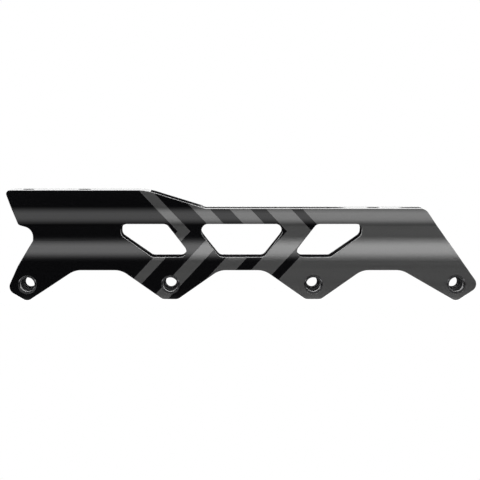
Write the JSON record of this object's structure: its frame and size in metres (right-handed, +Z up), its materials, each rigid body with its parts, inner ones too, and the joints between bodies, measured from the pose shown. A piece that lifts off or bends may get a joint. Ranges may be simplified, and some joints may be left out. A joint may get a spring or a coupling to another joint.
{
  "type": "inline skate frame",
  "caption": "Bare extruded inline skate frame with a raised heel box, a ramp down to the toe deck, milled windows and legs with bushed and threaded axle holes.",
  "frame": {"origin": "under the middle of the frame's box, level with the leg tips that it stands on", "axes": "+X along the frame to the toe, +Z up to the decks, the bushed wall on -Y and the threaded wall on +Y"},
  "size_m": [0.2662, 0.041, 0.0624],
  "materials": {
    "anodised_chassis": "satin black and dark grey",
    "bush_steel": "dark satin",
    "insert_steel": "dark satin"
  },
  "bodies": {
    "root": {"chassis": "anodised_chassis", "axle_bush_1": "bush_steel", "axle_bush_2": "bush_steel", "axle_bush_3": "bush_steel", "axle_bush_4": "bush_steel", "thread_insert_1": "insert_steel", "thread_insert_2": "insert_steel", "thread_insert_3": "insert_steel", "thread_insert_4": "insert_steel"}
  },
  "joints": []
}
